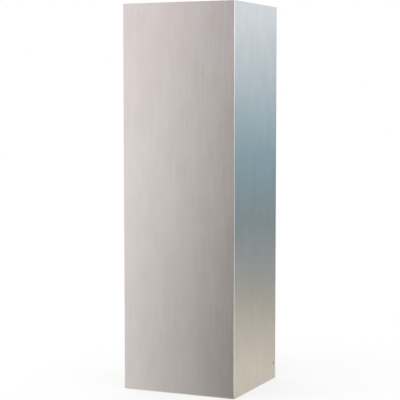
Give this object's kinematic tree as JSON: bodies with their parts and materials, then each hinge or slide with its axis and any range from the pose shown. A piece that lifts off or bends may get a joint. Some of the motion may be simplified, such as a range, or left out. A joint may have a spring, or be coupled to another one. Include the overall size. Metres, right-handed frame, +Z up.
{
  "type": "cooker hood chimney section",
  "caption": "Tall three-sided casing folded from brushed stainless sheet, open at the back and at both ends, that hides the exhaust duct above a wall-mounted cooker hood.",
  "frame": {"origin": "on the plane of the lower end, under the middle of the casing's outline", "axes": "+Z up along the casing, -Y out of the front face, +Y towards the wall, X across the width"},
  "size_m": [0.312, 0.287, 1],
  "materials": {
    "brushed_stainless": "satin"
  },
  "bodies": {
    "root": {"chimney_casing": "brushed_stainless"}
  },
  "joints": []
}
